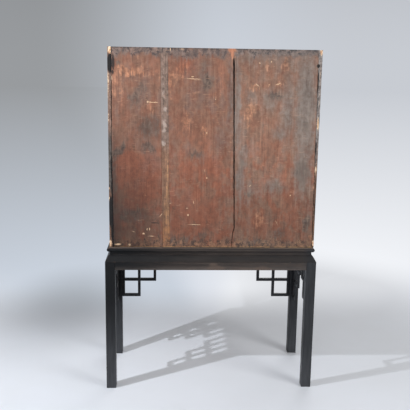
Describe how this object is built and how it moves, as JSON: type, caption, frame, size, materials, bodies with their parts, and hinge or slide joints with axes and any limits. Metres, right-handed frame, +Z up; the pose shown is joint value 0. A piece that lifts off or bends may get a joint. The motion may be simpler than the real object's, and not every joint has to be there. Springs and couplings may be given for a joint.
{
  "type": "cabinet on stand",
  "caption": "Lacquer cabinet with hinged doors, drawers and a shelf behind them, on an ebonised stand with square legs, moulded rails and stepped fret brackets.",
  "frame": {"origin": "on the floor, at the middle of the box that holds the part with both doors standing open at a right angle", "axes": "+Z up, the doors face -Y and the plain back faces +Y, +X to the right of a person who faces the doors"},
  "size_m": [0.9806, 0.8668, 1.5506],
  "materials": {
    "ebonised_wood": "ebonised, satin, worn",
    "black_lacquer": "aged black lacquer on wood",
    "stained_boards": "worn red-brown stain on upright boards",
    "joint_strip": "pale worn strip let into a joint",
    "red_lacquer": "dark red lacquer on wood, satin",
    "aged_brass": "aged brass, satin"
  },
  "bodies": {
    "cabinet": {"back_board_left": "stained_boards", "back_board_middle": "stained_boards", "back_board_right": "stained_boards", "back_joint_strip": "joint_strip", "bottom_board": "red_lacquer", "divider_middle": "red_lacquer", "divider_small_left": "red_lacquer", "divider_small_right": "red_lacquer", "fret_front_left": "ebonised_wood", "fret_front_right": "ebonised_wood", "fret_left_back": "ebonised_wood", "fret_left_front": "ebonised_wood", "fret_right_back": "ebonised_wood", "fret_right_front": "ebonised_wood", "hinge_left_lower_case_leaf": "aged_brass", "hinge_left_upper_case_leaf": "aged_brass", "hinge_right_lower_case_leaf": "aged_brass", "hinge_right_upper_case_leaf": "aged_brass", "leg_back_left": "ebonised_wood", "leg_back_right": "ebonised_wood", "leg_front_left": "ebonised_wood", "leg_front_right": "ebonised_wood", "moulding_back": "ebonised_wood", "moulding_front": "ebonised_wood", "moulding_left": "ebonised_wood", "moulding_right": "ebonised_wood", "rail_back": "ebonised_wood", "rail_front": "ebonised_wood", "rail_left": "ebonised_wood", "rail_right": "ebonised_wood", "shelf_lower": "red_lacquer", "shelf_middle": "red_lacquer", "shelf_upper": "red_lacquer", "side_left": "black_lacquer", "side_right": "black_lacquer", "top_board": "black_lacquer"},
    "right_door": {"door_right": "black_lacquer", "lock_plate": "aged_brass", "lock_case": "aged_brass", "hinge_right_lower_door_leaf": "aged_brass", "hinge_right_upper_door_leaf": "aged_brass"},
    "left_door": {"door_left": "black_lacquer", "hinge_left_lower_door_leaf": "aged_brass", "hinge_left_upper_door_leaf": "aged_brass"},
    "lock_bolt": {"lock_bolt": "aged_brass"},
    "upper_door_bolt": {"door_bolt_upper": "aged_brass"},
    "lower_door_bolt": {"door_bolt_lower": "aged_brass"},
    "small_left_drawer": {"drawer_small_left": "red_lacquer", "knob_small_left": "aged_brass"},
    "small_middle_drawer": {"drawer_small_middle": "red_lacquer", "knob_small_middle": "aged_brass"},
    "small_right_drawer": {"drawer_small_right": "red_lacquer", "knob_small_right": "aged_brass"},
    "middle_left_drawer": {"drawer_middle_left": "red_lacquer", "knob_middle_left": "aged_brass"},
    "middle_right_drawer": {"drawer_middle_right": "red_lacquer", "knob_middle_right": "aged_brass"},
    "long_drawer": {"drawer_long": "red_lacquer", "knob_long_left": "aged_brass", "knob_long_right": "aged_brass"}
  },
  "joints": [
    {"name": "right_door_swing", "type": "hinge", "parent": "cabinet", "child": "right_door", "pos_m": [0.468, 0.03787, 0.6761], "axis": [0, 0, 1], "range_deg": [-90, 90]},
    {"name": "left_door_swing", "type": "hinge", "parent": "cabinet", "child": "left_door", "pos_m": [-0.468, 0.03787, 0.6761], "axis": [0, 0, -1], "range_deg": [-90, 90]},
    {"name": "lock_bolt_throw", "type": "slide", "parent": "right_door", "child": "lock_bolt", "axis": [0, -1, 0], "range_m": [0, 0.012]},
    {"name": "upper_bolt_slide", "type": "slide", "parent": "left_door", "child": "upper_door_bolt", "axis": [0, 0, 1], "range_m": [0, 0.012]},
    {"name": "lower_bolt_slide", "type": "slide", "parent": "left_door", "child": "lower_door_bolt", "axis": [0, 0, -1], "range_m": [0, 0.012]},
    {"name": "small_left_drawer_slide", "type": "slide", "parent": "cabinet", "child": "small_left_drawer", "axis": [0, -1, 0], "range_m": [0, 0.22]},
    {"name": "small_middle_drawer_slide", "type": "slide", "parent": "cabinet", "child": "small_middle_drawer", "axis": [0, -1, 0], "range_m": [0, 0.22]},
    {"name": "small_right_drawer_slide", "type": "slide", "parent": "cabinet", "child": "small_right_drawer", "axis": [0, -1, 0], "range_m": [0, 0.22]},
    {"name": "middle_left_drawer_slide", "type": "slide", "parent": "cabinet", "child": "middle_left_drawer", "axis": [0, -1, 0], "range_m": [0, 0.22]},
    {"name": "middle_right_drawer_slide", "type": "slide", "parent": "cabinet", "child": "middle_right_drawer", "axis": [0, -1, 0], "range_m": [0, 0.22]},
    {"name": "long_drawer_slide", "type": "slide", "parent": "cabinet", "child": "long_drawer", "axis": [0, -1, 0], "range_m": [0, 0.22]}
  ]
}
